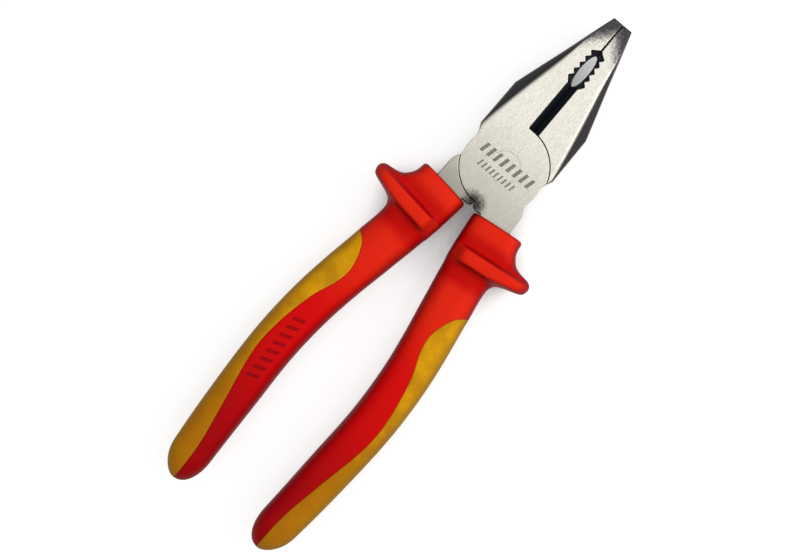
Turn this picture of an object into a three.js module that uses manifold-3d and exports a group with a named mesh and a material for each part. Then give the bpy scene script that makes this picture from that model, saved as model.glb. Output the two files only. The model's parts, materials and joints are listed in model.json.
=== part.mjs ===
// Insulated combination pliers, 200 mm long. Two lapped steel halves turn on one rivet, and each
// handle is a steel tang inside an inner sleeve, a guarded outer grip and a soft inlay.
//
// Millimetres, +Z up. The pliers lie on their back with the jaws towards +Y. Everything is drawn in
// a working frame with the pivot at the origin, and moved at the end so that the origin is the
// middle of the bounding box's lowest face. The front half has its jaw at -X and its handle at +X.
// The rear half is the same set of pieces turned half a turn about Y.

import * as THREE from "three";
import { LoftGeometry } from "three/addons/geometries/LoftGeometry.js";
import { mergeVertices } from "three/addons/utils/BufferGeometryUtils.js";
import Module from "manifold-3d";

// Driving dimensions
const GAP = 0.3; // clearance between neighbouring pieces
const FACE_Z = 5.5; // half of the head's thickness
const DISC_RADIUS = 14.2; // lap disc around the pivot
const DISC_SEGMENTS = 64;
const KNEE = [14.6, 22.8]; // half of the head's width, and where the head starts to taper
const CHEEK_FOOT = [14.8, 6.1]; // lower outer corner of the cheek
const TIP_Y = 58.1;
const TIP_REACH = 3.55; // half of the nose's width at its end

// Rivet: a shank with a countersunk head at each face
const RIVET = { shank: 3.5, head: 5.0, headDepth: 1.6 };

// Cutter: straight walls near both faces, then a bevel down to the edge in the middle
const CUTTER = { bottom: 14.2, top: 33.3, wall: 1.9, bevelZ: 2.8 };

// Pipe grip: one valley every pitch, each a little shallower than the last
const TEETH = { first: 35.1, pitch: 2.6, valleys: 5, valley: 3.25, tip: 1.95, taper: 0.17 };
// Middle layer of the pipe grip, with an oval hole instead of teeth
const OVAL = { middle: 39.3, reach: 1.6, halfLength: 6.0, layerZ: 2.4, steps: 12 };
const SEAM_TOP_Y = 47.2; // the gripping flats start here, a little off the middle, and close up to the end
const SEAM_TOP_REACH = 0.25;

// Edges of the head below the cheeks: [x, y]. The waist runs down from a cheek's foot, and the
// shoulder from there to the collar. The crotch is between the two handles.
const WAIST = [[14.1, 5.0], [13.6, 4.0], [13.1, 3.0], [13.05, 2.2], [13.4, 0.2], [13.5, -1.4], [13.3, -3]];
const SHOULDER = [[12.95, -4.9], [13.3, -6], [13.95, -7], [14.35, -8.1], [14.55, -9.5], [14.6, -14.6]];
const CROTCH = [[0.15, -15.2], [0.6, -15.8], [1.6, -16.2], [3.9, -16.0]];

// Flank facets at 45 degrees, each through a line on the head's face: [reach, y] of two points
const FLANK_LINES = [
  [[13.9, 7], [11.3, 23]],
  [[11.3, 23], [5.4, 47]],
];

// The nose gets thinner towards its end: [half thickness, y] of two points on each slope
const NOSE_SLOPES = [
  [[FACE_Z, 38], [4.7, 50]],
  [[4.7, 50], [3.1, 58.1]],
];

// Handle axis from the collar to the end, in the XY plane
const handleAxis = new THREE.SplineCurve(
  [
    [10.9, -15.6],
    [12.8, -31],
    [14.8, -46],
    [17.0, -58],
    [18.8, -70],
    [19.75, -82],
    [19.9, -93],
    [19.3, -107],
    [18.4, -124],
    [17.3, -142],
  ].map(([x, y]) => new THREE.Vector2(x, y)),
);
const AXIS_LENGTH = handleAxis.getLength();

// Outer grip: distance along the axis, reach outboard, reach inboard, half thickness, and the
// exponent of the superelliptic section, where 2 is an ellipse and more is squarer
const GRIP_STATIONS = [
  [0, 8.2, 8.2, 7.2, 3.2],
  [0.8, 9.0, 9.1, 8.0, 3.2],
  [3, 9.1, 9.2, 8.5, 3.2],
  [6, 10.4, 9.2, 8.6, 3.4],
  [7.9, 12.2, 9.2, 8.3, 3.6],
  [8.7, 14.2, 9.2, 8.3, 3.9],
  [9.4, 17.0, 9.2, 8.5, 4],
  [10.4, 18.2, 9.2, 9.2, 4],
  [11.2, 18.6, 9.2, 10.8, 4],
  [13.4, 18.3, 9.1, 10.8, 4],
  [14.4, 16.9, 9.1, 10.8, 4],
  [15.1, 13.4, 9.0, 10.7, 3.8],
  [15.8, 10.2, 8.9, 9.4, 3.5],
  [16.8, 8.5, 8.8, 7.8, 3.1],
  [18.6, 7.7, 8.7, 7.4, 3],
  [22, 7.5, 8.5, 7.4, 2.9],
  [30, 7.8, 8.0, 7.6, 2.8],
  [42, 7.7, 7.8, 8.2, 2.8],
  [54, 7.6, 7.7, 8.8, 2.8],
  [66, 7.5, 7.6, 9.3, 2.8],
  [78, 7.4, 7.5, 9.4, 2.8],
  [92, 7.3, 7.4, 9.0, 2.8],
  [106, 7.0, 7.1, 8.3, 2.8],
  [116.5, 6.6, 6.9, 7.8, 2.8],
  [121, 5.4, 6.2, 7.0, 2.7],
  [124.3, 3.8, 5.0, 5.5, 2.6],
  [126.4, 2.4, 3.4, 3.6, 2.4],
];
const GRIP_END = 110; // past this, growing or shrinking the grip's form moves its stations too
const GRIP_SECTION_POINTS = 20;

// Steel tang: distance along the axis, reach outboard, reach inboard, half thickness
const TANG_STATIONS = [
  [-2, 3.9, 6.9, FACE_Z],
  [2.5, 4.0, 6.9, FACE_Z],
  [7, 4.3, 6.2, 5.0],
  [30, 4.6, 4.7, 4.8],
  [60, 4.2, 4.2, 4.6],
  [84, 3.8, 3.8, 4.3],
  [108, 3.2, 3.2, 3.7],
];
const TANG_CHAMFER = 1.3;
const CORE_START = 5; // the inner sleeve starts this far inside the collar
const CORE_WALL = 1.2; // from the tang's surface to the sleeve's outside
const CORE_FLOOR = 1.8; // past the tang's end

// Soft inlay: the line between it and the outer grip, as [x, y] on the right handle's faces
const PAD_LINE = new THREE.SplineCurve(
  [
    [26, -41.4],
    [22.4, -43.7],
    [18.5, -47.5],
    [16.3, -54.5],
    [17.0, -61],
    [20.4, -70],
    [23.1, -84],
    [23.1, -96],
    [19.5, -115],
    [17.1, -130],
    [16.9, -146],
  ].map(([x, y]) => new THREE.Vector2(x, y)),
);
const PAD_LINE_STEPS = 26;
const PAD_DEPTH = 1.2;

const FAR = 60; // past every outer surface

const wasm = await Module();
wasm.setup();

// Solids

function solid(geometry) {
  const bare = new THREE.BufferGeometry().copy(geometry);
  bare.deleteAttribute("normal");
  bare.deleteAttribute("uv");
  const merged = mergeVertices(bare, 1e-4);
  return new wasm.Manifold(
    new wasm.Mesh({
      numProp: 3,
      vertProperties: merged.attributes.position.array,
      triVerts: new Uint32Array(merged.index.array),
    }),
  );
}

function geometryOf(manifold) {
  const mesh = manifold.getMesh();
  const geometry = new THREE.BufferGeometry();
  geometry.setAttribute("position", new THREE.BufferAttribute(mesh.vertProperties, 3));
  geometry.setIndex(new THREE.BufferAttribute(mesh.triVerts, 1));
  const faceted = geometry.toNonIndexed();
  faceted.computeVertexNormals();
  return faceted;
}

// A prism over a closed outline of [x, y] points, between two heights
function prism(outline, bottom, top) {
  const shape = new THREE.Shape(outline.map(([x, y]) => new THREE.Vector2(x, y)));
  const geometry = new THREE.ExtrudeGeometry(shape, { depth: top - bottom, bevelEnabled: false });
  return solid(geometry.translate(0, 0, bottom));
}

// A solid of revolution about Z, from a profile of [radius, z] points
function turned(profile) {
  const points = profile.map(([radius, z]) => new THREE.Vector2(radius, z));
  return solid(new THREE.LatheGeometry(points, DISC_SEGMENTS).rotateX(Math.PI / 2));
}

function disc(radius, bottom, top) {
  return turned([[0, bottom], [radius, bottom], [radius, top], [0, top]]);
}

// Everything within reach on the outer side of a plane, for cutting facets
function beyondPlane(point, normal) {
  const size = 3 * FAR;
  const box = new THREE.BoxGeometry(size, size, size).translate(0, 0, size / 2);
  const turn = new THREE.Quaternion().setFromUnitVectors(new THREE.Vector3(0, 0, 1), normal);
  return solid(box.applyQuaternion(turn).translate(point.x, point.y, point.z));
}

// A solid lofted along the handle axis through closed [w, z] sections, w pointing outboard
function alongHandle(sections) {
  const rings = sections.map(({ along, section }) => {
    const t = THREE.MathUtils.clamp(along / AXIS_LENGTH, 0, 1);
    const tangent = handleAxis.getTangentAt(t);
    const centre = handleAxis.getPointAt(t).addScaledVector(tangent, along - t * AXIS_LENGTH);
    const outboard = new THREE.Vector2(-tangent.y, tangent.x);
    return section.map(([w, z]) => {
      const place = centre.clone().addScaledVector(outboard, w);
      return new THREE.Vector3(place.x, place.y, z);
    });
  });
  return solid(new LoftGeometry(rings, { capStart: true, capEnd: true }));
}

// Steel halves

// The jaw's outline in the XY plane, with the given points along its seam
function cheekOutline(seam) {
  const outer = [[TIP_REACH, TIP_Y], KNEE, CHEEK_FOOT, ...WAIST].map(([x, y]) => [-x, y]);
  return [[-GAP / 2, 0], ...seam, [-GAP / 2, TIP_Y], ...outer];
}

function toothedSeam() {
  const seam = [[-GAP / 2, CUTTER.top], [-CUTTER.wall, CUTTER.top]];
  for (let i = 0; i < TEETH.valleys; i += 1) {
    const y = TEETH.first + i * TEETH.pitch;
    seam.push([-(TEETH.valley - i * TEETH.taper), y]);
    if (i < TEETH.valleys - 1) {
      seam.push([-(TEETH.tip - i * TEETH.taper), y + TEETH.pitch / 2]);
    }
  }
  return [...seam, [-SEAM_TOP_REACH, SEAM_TOP_Y]];
}

function ovalSeam() {
  const seam = [];
  for (let i = 0; i <= OVAL.steps; i += 1) {
    const angle = (i / OVAL.steps) * Math.PI;
    const y = OVAL.middle - OVAL.halfLength * Math.cos(angle);
    seam.push([-GAP / 2 - (OVAL.reach - GAP / 2) * Math.sin(angle), y]);
  }
  return seam;
}

function cutterRecess() {
  const section = [
    [1, FACE_Z + 1],
    [-CUTTER.wall, FACE_Z + 1],
    [-CUTTER.wall, CUTTER.bevelZ],
    [-GAP / 2, 0],
    [-CUTTER.wall, -CUTTER.bevelZ],
    [-CUTTER.wall, -FACE_Z - 1],
    [1, -FACE_Z - 1],
  ];
  const shape = new THREE.Shape(section.map(([x, z]) => new THREE.Vector2(x, z)));
  const depth = CUTTER.top + 1 - CUTTER.bottom;
  const geometry = new THREE.ExtrudeGeometry(shape, { depth, bevelEnabled: false });
  return solid(geometry.rotateX(Math.PI / 2).translate(0, CUTTER.top + 1, 0));
}

function jaw() {
  const toothed = prism(cheekOutline(toothedSeam()), -FACE_Z, FACE_Z).subtract(cutterRecess());
  const cutterTop = beyondPlane(new THREE.Vector3(0, CUTTER.top, 0), new THREE.Vector3(0, 1, 0));
  const layer = prism(cheekOutline(ovalSeam()), -OVAL.layerZ, OVAL.layerZ).intersect(cutterTop);
  let made = toothed.add(layer);
  for (const side of [1, -1]) {
    for (const [[reach, y], [nextReach, nextY]] of FLANK_LINES) {
      const inPlane = new THREE.Vector2(y - nextY, reach - nextReach).normalize();
      const normal = new THREE.Vector3(inPlane.x, inPlane.y, side).normalize();
      made = made.subtract(beyondPlane(new THREE.Vector3(-reach, y, side * FACE_Z), normal));
    }
    for (const [[thick, y], [nextThick, nextY]] of NOSE_SLOPES) {
      const normal = new THREE.Vector3(0, thick - nextThick, side * (nextY - y)).normalize();
      made = made.subtract(beyondPlane(new THREE.Vector3(0, y, side * thick), normal));
    }
  }
  return made;
}

// The tang's shoulder between the disc and the collar
function shoulder() {
  return prism([[GAP / 2, 0], ...CROTCH, ...SHOULDER.toReversed()], -FACE_Z, FACE_Z);
}

// The disc that laps over the other half's, trimmed to the width of the waist
function lapDisc() {
  const right = [KNEE, CHEEK_FOOT, ...WAIST, ...SHOULDER];
  const left = right.map(([x, y]) => [-x, y]).reverse();
  return disc(DISC_RADIUS, GAP / 2, FACE_Z).intersect(prism([...right, ...left], 0, FACE_Z + 1));
}

function tangSection(outboard, inboard, thick, grow) {
  const w = outboard + grow;
  const v = -inboard - grow;
  const z = thick + grow;
  const cut = TANG_CHAMFER + grow * (2 - Math.SQRT2);
  return [
    [w, z - cut],
    [w - cut, z],
    [v + cut, z],
    [v, z - cut],
    [v, cut - z],
    [v + cut, -z],
    [w - cut, -z],
    [w, cut - z],
  ];
}

// The tang, or what surrounds it when grown, from start to past its end
function tang(grow, start, past) {
  const rows = TANG_STATIONS.filter(([along]) => along > start);
  const [firstAlong, ...first] = TANG_STATIONS[TANG_STATIONS.length - rows.length - 1] ?? rows[0];
  const share = (start - firstAlong) / (rows[0][0] - firstAlong || 1);
  const startRow = first.map((value, i) => THREE.MathUtils.lerp(value, rows[0][i + 1], share));
  const [lastAlong, ...last] = rows.at(-1);
  const all = [[start, ...startRow], ...rows.slice(0, -1), [lastAlong + past, ...last]];
  return alongHandle(
    all.map(([along, ...size]) => ({ along, section: tangSection(...size, grow) })),
  );
}

function steelHalf() {
  const lever = jaw().add(shoulder()).add(tang(0, -2, 0));
  const clearance = disc(DISC_RADIUS + GAP, -FACE_Z - 1, GAP / 2);
  return lever.subtract(clearance).add(lapDisc()).subtract(rivetSolid(GAP));
}

// The rivet, or the hole for it when grown
function rivetSolid(grow) {
  const past = grow > 0 ? 1 : 0;
  const spread = (past * (RIVET.head - RIVET.shank)) / RIVET.headDepth;
  const end = FACE_Z + past;
  const neck = FACE_Z - RIVET.headDepth;
  return turned([
    [0, -end],
    [RIVET.head + grow + spread, -end],
    [RIVET.shank + grow, -neck],
    [RIVET.shank + grow, neck],
    [RIVET.head + grow + spread, end],
    [0, end],
  ]);
}

// Grips

function gripSection(outboard, inboard, thick, square) {
  const points = [];
  for (let i = 0; i < GRIP_SECTION_POINTS; i += 1) {
    const angle = (i / GRIP_SECTION_POINTS) * 2 * Math.PI;
    const across = Math.cos(angle);
    const up = Math.sin(angle);
    const reach = across > 0 ? outboard : inboard;
    points.push([
      reach * Math.sign(across) * Math.abs(across) ** (2 / square),
      thick * Math.sign(up) * Math.abs(up) ** (2 / square),
    ]);
  }
  return points;
}

// The outer grip's form without its hollows, grown outwards or shrunk inwards
function gripForm(grow) {
  return alongHandle(
    GRIP_STATIONS.map(([along, outboard, inboard, thick, square]) => ({
      along: along > GRIP_END ? along + grow : along,
      section: gripSection(outboard + grow, inboard + grow, thick + grow, square),
    })),
  );
}

// Everything outboard of the inlay's line, moved inboard by grow
function padSide(grow) {
  const line = PAD_LINE.getSpacedPoints(PAD_LINE_STEPS).map((point, i) => {
    const tangent = PAD_LINE.getTangentAt(i / PAD_LINE_STEPS);
    return [point.x + tangent.y * grow, point.y - tangent.x * grow];
  });
  const [, topY] = line[0];
  const [, bottomY] = line.at(-1);
  return prism([...line, [FAR, bottomY], [FAR, topY]].reverse(), -FAR, FAR);
}

function gripPad() {
  return gripForm(0).subtract(gripForm(-PAD_DEPTH)).intersect(padSide(0));
}

function gripShell() {
  const pocket = gripForm(1).subtract(gripForm(-PAD_DEPTH - GAP)).intersect(padSide(GAP));
  const tangHole = tang(GAP, -1, 0);
  const coreHole = tang(CORE_WALL + GAP, CORE_START - GAP, CORE_FLOOR + GAP);
  return gripForm(0).subtract(pocket).subtract(tangHole).subtract(coreHole);
}

function gripCore() {
  const outside = tang(CORE_WALL, CORE_START, CORE_FLOOR);
  return outside.subtract(tang(GAP, CORE_START - 1, GAP));
}

// Assembly

const MATERIALS = {
  steel: { color: 0xcac5ba, roughness: 0.38, metalness: 1.0 },
  rivet: { color: 0xb8b4ac, roughness: 0.42, metalness: 1.0 },
  core: { color: 0xe6c34a, roughness: 0.6, metalness: 0.0 },
  shell: { color: 0xdf2410, roughness: 0.42, metalness: 0.0 },
  pad: { color: 0xd79a06, roughness: 0.6, metalness: 0.0 },
};

function piece(name, manifold, material) {
  const mesh = new THREE.Mesh(
    geometryOf(manifold),
    new THREE.MeshStandardMaterial(MATERIALS[material]),
  );
  mesh.name = name;
  return mesh;
}

function lever(side) {
  const group = new THREE.Group();
  group.add(piece(`${side}_half`, steelHalf(), "steel"));
  group.add(piece(`${side}_grip_core`, gripCore(), "core"));
  group.add(piece(`${side}_grip_shell`, gripShell(), "shell"));
  group.add(piece(`${side}_grip_pad`, gripPad(), "pad"));
  return group;
}

const frontLever = lever("front");
const rearLever = lever("rear");
rearLever.rotation.y = Math.PI;

const tool = new THREE.Group();
tool.add(frontLever, rearLever, piece("pivot_rivet", rivetSolid(0), "rivet"));

const box = new THREE.Box3().setFromObject(tool, true);
const middle = box.getCenter(new THREE.Vector3());
tool.position.set(-middle.x, -middle.y, -box.min.z);

const pliers = new THREE.Group();
pliers.add(tool);

export default pliers;
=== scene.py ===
"""Insulated combination pliers on a pale floor, lit softly from above and from the right.

The frame holds the joint, the sizes and the inner sleeves. The steel halves, the rivet and the
grips are made here. Every piece is drawn in millimetres around the pivot, in the front lever's
place. The rear lever uses the same meshes turned half a turn about Y, as the real halves are.
"""

import json
import math

import bmesh
import bpy
import numpy as np
import openvdb
from mathutils import Matrix, Vector


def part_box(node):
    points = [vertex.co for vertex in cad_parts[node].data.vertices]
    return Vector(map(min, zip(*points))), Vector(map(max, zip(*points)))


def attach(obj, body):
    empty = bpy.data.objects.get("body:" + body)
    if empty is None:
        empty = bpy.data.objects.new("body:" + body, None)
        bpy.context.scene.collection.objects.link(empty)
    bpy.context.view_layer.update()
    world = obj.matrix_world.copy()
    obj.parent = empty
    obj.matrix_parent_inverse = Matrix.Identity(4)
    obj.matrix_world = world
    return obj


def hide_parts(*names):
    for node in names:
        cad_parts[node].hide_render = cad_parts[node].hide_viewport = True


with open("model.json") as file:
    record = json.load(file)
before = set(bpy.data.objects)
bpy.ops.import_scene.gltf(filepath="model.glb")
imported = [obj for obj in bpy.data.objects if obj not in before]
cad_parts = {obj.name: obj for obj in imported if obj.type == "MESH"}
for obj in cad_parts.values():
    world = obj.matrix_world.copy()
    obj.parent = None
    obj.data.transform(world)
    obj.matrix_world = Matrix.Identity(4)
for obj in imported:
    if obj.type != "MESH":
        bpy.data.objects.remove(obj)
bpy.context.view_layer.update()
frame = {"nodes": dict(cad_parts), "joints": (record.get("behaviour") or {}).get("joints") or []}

MM = 0.001
PIVOT = Vector(frame["joints"][0]["pos_m"])
STEEL_LOW, STEEL_HIGH = (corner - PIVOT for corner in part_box("front_half"))

# Steel halves, in millimetres from the pivot
FACE_Z = STEEL_HIGH.z / MM  # half of the head's thickness
TIP_Y = STEEL_HIGH.y / MM
KNEE = (14.6, 22.8)
CHEEK_FOOT = (14.8, 6.1)
WAIST = [
    (14.1, 5.0), (13.6, 4.0), (13.1, 3.0), (13.05, 2.2), (13.4, 0.2), (13.5, -1.4), (13.3, -3.0),
]
SHOULDER = [
    (12.95, -4.9), (13.3, -6.0), (13.95, -7.0), (14.35, -8.1), (14.55, -9.5), (14.6, -14.6),
]
CROTCH = [(0.1, -15.2), (0.6, -15.8), (1.6, -16.2), (3.9, -16.0)]
CHEEK_OUTLINE = [(-x, y) for x, y in [(3.55, TIP_Y), KNEE, CHEEK_FOOT, *WAIST]]
SHOULDER_OUTLINE = [(0.1, 0.0), *CROTCH, (3.9, -18.5), (14.5, -18.5), *SHOULDER[::-1]]
HEAD_SIDE = [KNEE, CHEEK_FOOT, *WAIST, *SHOULDER]
HEAD_OUTLINE = HEAD_SIDE + [(-x, y) for x, y in HEAD_SIDE[::-1]]
DISC_RADIUS = 14.2
DISC_GAP = 0.14  # between the lap disc and the other half's cheek
SEAM_GAP = 0.015
SEAM_PAST = 1.0  # past the seam, for outlines that are cut back to it afterwards
SEAM_LEAN = 0.12  # the closed seam leans this much per millimetre of depth, near the middle
SLOT = {"bottom": 14.2, "top": 33.3, "wall": 1.9, "land": 0.5, "bevel": 0.75}
TEETH = {"first": 35.1, "pitch": 2.6, "valleys": 5, "valley": 3.25, "tip": 1.95, "taper": 0.17}
PIPE_HOLE = {"middle": 39.3, "reach": 1.6, "length": 12.2, "web_z": 2.4}
SEAM_TOP = {"y": 47.2, "reach": 0.14, "serration": 0.12, "pitch": 1.15}
FLANK_LINES = (((13.9, 7), (11.3, 23)), ((11.3, 23), (5.4, 47)))
NOSE_SLOPES = (((FACE_Z, 38), (4.7, 50)), ((4.7, 50), (3.1, TIP_Y)))
RIVET = {"shank": 3.5, "head": 5.0, "head_depth": 1.6, "edge": 0.035, "play": 0.01}
STEEL_STEP = 0.23  # between the places where the steel's form is sampled
HIDDEN_BELOW = -19.0  # the grips cover the steel from here on, and it is sampled less closely
HIDDEN_STEP = 3.0
SLAB_ROWS = 128  # rows of samples made at a time, which bounds the memory
# How far the edges are broken
EDGE = 0.3
FLANK_EDGE = 1.0  # between a cheek's face and its flank
WEB_EDGE = 0.5
CUT_EDGE = 0.15  # of the cutter's slot and of the lap's clearance
DISC_EDGE = 0.2
HOLE_EDGE = 0.1

# Handles: the axis in the XY plane, then sizes at distances along it
HANDLE_AXIS = (
    (10.9, -15.6), (12.8, -31), (14.8, -46), (17.0, -58), (18.8, -70), (19.75, -82),
    (19.9, -93), (19.3, -107), (18.4, -124), (17.3, -142),
)
# Tang: distance, reach outboard, reach inboard, half thickness
TANG = (
    (-2, 3.9, 6.9, FACE_Z), (2.5, 4.0, 6.9, FACE_Z), (7, 4.3, 6.2, 5.0), (30, 4.6, 4.7, 4.8),
    (60, 4.2, 4.2, 4.6), (84, 3.8, 3.8, 4.3), (108, 3.2, 3.2, 3.7),
)
TANG_START = -2.0
TANG_END = 106
TANG_EDGE = 1.3
TANG_END_EDGE = 1.5
# Grip: distance, reach outboard, reach inboard
GRIP_REACH = (
    (0, 9.0, 9.1), (3, 9.1, 9.2), (6, 10.3, 9.2), (7.9, 12.2, 9.2), (8.6, 14.0, 9.2),
    (9.3, 16.8, 9.2), (10.2, 18.05, 9.2), (11.5, 18.5, 9.2), (12.5, 18.35, 9.2), (13.3, 18.0, 9.1),
    (14.1, 17.2, 9.1), (14.7, 15.2, 9.1), (15.2, 12.7, 9.1), (15.7, 10.7, 9.0), (16.4, 9.1, 9.0),
    (17.3, 8.3, 8.8), (18.6, 7.7, 8.7), (22, 7.5, 8.5),
    (30, 7.8, 8.0), (42, 7.7, 7.8), (54, 7.6, 7.7), (66, 7.5, 7.6), (78, 7.4, 7.5),
    (92, 7.3, 7.4), (106, 7.0, 7.1), (116, 6.6, 6.9),
)
# Grip: distance, half thickness, exponent of the superelliptic section
GRIP_THICK = (
    (0, 7.9, 3.2), (2.5, 8.5, 3.2), (5, 8.6, 3.3), (8.5, 8.1, 3.8), (10.6, 8.2, 4.4),
    (13, 8.2, 4.4), (16, 7.7, 3.6), (18, 7.3, 3.0), (22, 7.3, 2.9), (30, 7.6, 2.8),
    (42, 8.2, 2.8), (54, 8.8, 2.8), (66, 9.3, 2.8), (78, 9.4, 2.8), (92, 9.0, 2.8),
    (106, 8.3, 2.8), (116, 7.8, 2.7),
)
# Raised band of the guard: distance, height over the section above
GUARD_BAND = (
    (8.6, 0), (9.8, 0.15), (10.3, 0.6), (11.0, 2.0), (11.4, 2.4), (12.0, 2.6), (14.7, 2.6),
    (15.2, 2.45), (15.7, 1.7), (16.2, 0.5), (17.0, 0),
)
BAND_RISE = (0.8, 5.4)  # from the inboard edge: where the band rises, and where it is full
# Flat on the handle's faces below the guard
FLAT = {"height": 0.6, "start": (19.8, 21.6), "end": (26, 42), "inboard": 4.5, "outboard": (1.5, 6)}
SIDE_BLEND = 6  # exponent with which band and flat run out towards the sides
RIM = 1.1  # radius of the collar's upper edge
DOME_START = 115.5
DOME_END = 126.4
DOME_REACH = (1.25, 0.85)  # exponents outboard and inboard: the end is rounder outboard
DOME_SOFTENING = 0.4  # how much rounder the section gets towards the end
# Hollow for the tang and its inner sleeve
HOLE_END = 110.0
HOLE_STEP = 2.5
HOLE_SQUARE = 9
MOUTH_EDGE = 0.15
CORE_START = 5.0
CORE_WALL = 1.2
CORE_GAP = 0.3
TANG_GAP = 0.12

# Line between the outer grip and the soft inlay, on the front lever's faces
PAD_LINE = (
    (26, -41.4), (22.4, -43.7), (18.5, -47.5), (16.3, -54.5), (17.0, -61), (20.4, -70),
    (23.1, -84), (23.1, -96), (19.5, -115), (17.1, -130), (16.9, -146),
)
PAD_DEPTH = 1.2
PAD_GAP = 0.05
LIP = ((0.0, 0.16), (0.12, 0.05), (0.32, 0.0))  # distance from the line, depth

# How closely the grips and the rivet are drawn
RED_POINTS = 104
PAD_POINTS = 56
SECTION_POINTS = 721
RIM_RINGS = 7
RING_SPANS = (  # from, to, spacing: closer at the guard and where the inlay starts
    (1.35, 24, 0.25), (24, 27.2, 0.4), (27.2, 29.6, 0.06), (29.6, 36, 0.2), (36, DOME_START, 0.75),
)
DOME_RINGS = 26
DOME_TURN = 1.54  # radians, a little short of the pole
RIVET_POINTS = 128
GRIP_CREASE = math.radians(42)
RIVET_CREASE = math.radians(40)

# Colours and surfaces
GRIP_SPECULAR = 0.05
GRAIN = (2.6, 4.0, 0.65)  # scale, detail and roughness of the steel's finer noise
CLOUDS = (0.11, 3.0, 0.5)  # the same for its coarse one
# Painted light and shade among these steel colours: the lighter grey towards the jaws, the darker one
# below the joint, the near black one at the crotch, and the black in the slot and between the teeth.
STEEL = {
    "cloud": (0.56, 0.54, 0.48), "clear": (0.72, 0.70, 0.635), "jaw": (0.92, 0.90, 0.83),
    "streak": (0.36, 0.34, 0.295), "etched": (0.07, 0.065, 0.062), "neck_shade": (0.25, 0.235, 0.205),
    "crotch_shade": (0.020, 0.018, 0.019), "oxide": (0.032, 0.030, 0.032),
    "fleck": (0.135, 0.128, 0.145), "black": (0.004, 0.006, 0.014),
}
# Painted light and shade among these reds: the lighter collar red, the deeper middle and end reds,
# and the deeper reds beside the guard and on the sides.
RED = {
    "collar": (0.70, 0.020, 0.005), "middle": (0.57, 0.001, 0.001), "cloud": (0.62, 0.001, 0.001),
    "end": (0.31, 0.0, 0.002), "guard": (0.46, 0.0, 0.0), "side": (0.19, 0.0, 0.003),
    "mark": (0.10, 0.0, 0.004),
}
# Painted shade among these yellows: the darker end and side colours.
YELLOW = {
    "clear": (0.70, 0.34, 0.002), "cloud": (0.47, 0.215, 0.003), "end": (0.33, 0.10, 0.001),
    "side": (0.22, 0.105, 0.001), "grain": (0.40, 0.19, 0.002),
}
SLEEVE = {"dark": (0.62, 0.40, 0.05), "light": (0.74, 0.50, 0.09)}
PAPER = {"dark": (0.28, 0.28, 0.28), "light": (0.31, 0.31, 0.31), "glow": (1.0, 1.0, 1.0)}
# Where a look sets in and where it is full, in Y
JAW_LIGHT_FADE = (-2.0, 20.0)
NECK_SHADE_FADE = (4.0, -16.0)
FLANK_FADE = (1.0, 3.0)
NOSE_FADE = (TIP_Y - 8.1, TIP_Y - 0.6)
RED_SHADE_MIDDLE_FADE = (-45.0, -75.0)
RED_SHADE_END_FADE = (-75.0, -130.0)
YELLOW_SHADE_END_FADE = (-55.0, -120.0)
# Painted shade, as deeper red before and after the guard: distances over which it sets in, and over
# which it ends
GUARD_HOLLOWS = (((3.5, 9.0), (11.2, 10.3)), ((14.9, 17.5), (24.5, 20.0)))
# Painted shadow at the crotch: its centre, and how quickly it fades across and along.
CROTCH_SHADE = {"x": -0.3, "y": -15.0, "per_x": 0.18, "per_y": 0.20}
# Rows of plain bars: their spans, their pitch, and the share of it that is bar
FACE_BARS = (
    {"across": (-9.6, 10.4), "along": (-0.7, 2.6), "pitch": 2.6, "width": 0.5},
    {"across": (-7.3, 7.0), "along": (-4.7, -2.6), "pitch": 1.6, "width": 0.42},
)
FACE_BAR_SLANT = -0.25
GRIP_BARS = {"x": 18.3, "y": -101.0, "reach": 1.7, "length": 25.6, "pitch": 3.2, "width": 0.46}
GRIP_BAR_SLANT = 0.35
BAR_EDGE = 0.12  # share of the pitch over which a bar fades

# Camera and light
VIEW_CENTRE = (-0.00225, -0.00642)  # what the camera looks straight down at, in the row frame
VIEW_WIDTH = 0.2503  # how much of the tool's plane the picture is wide
VIEW_HEIGHT = 1.2  # camera over that plane
VIEW_TURN = math.radians(40)
TOOL_PLANE = PIVOT.z + FACE_Z * MM
SENSOR = 36.0
FLOOR_SIZE = 6.0
FLOOR_SHADE_REACH = 0.015  # the floor is dimmer within this distance of the tool
FLOOR_GLOW = {"open": (0.15, 0.6), "least": 0.08, "rise": 0.70}
WORLD_STRENGTH = 0.45


# Curves


def spline(points, steps):
    """The uniform Catmull-Rom curve through points, as a dense polyline."""
    p = np.array(points, float)
    p = np.vstack([p[:1], p, p[-1:]])
    t = np.linspace(0, 1, steps, endpoint=False)[:, None]
    spans = []
    for p0, p1, p2, p3 in zip(p, p[1:], p[2:], p[3:]):
        v0 = (p2 - p0) / 2
        v1 = (p3 - p1) / 2
        cubic = 2 * p1 - 2 * p2 + v0 + v1
        square = 3 * p2 - 3 * p1 - 2 * v0 - v1
        spans.append(cubic * t**3 + square * t**2 + v0 * t + p1)
    return np.vstack(spans + [p[-1:]])


def distances(line):
    """Distance along a polyline at each of its points."""
    steps = np.linalg.norm(np.diff(line, axis=0), axis=1)
    return np.concatenate([[0.0], np.cumsum(steps)])


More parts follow.
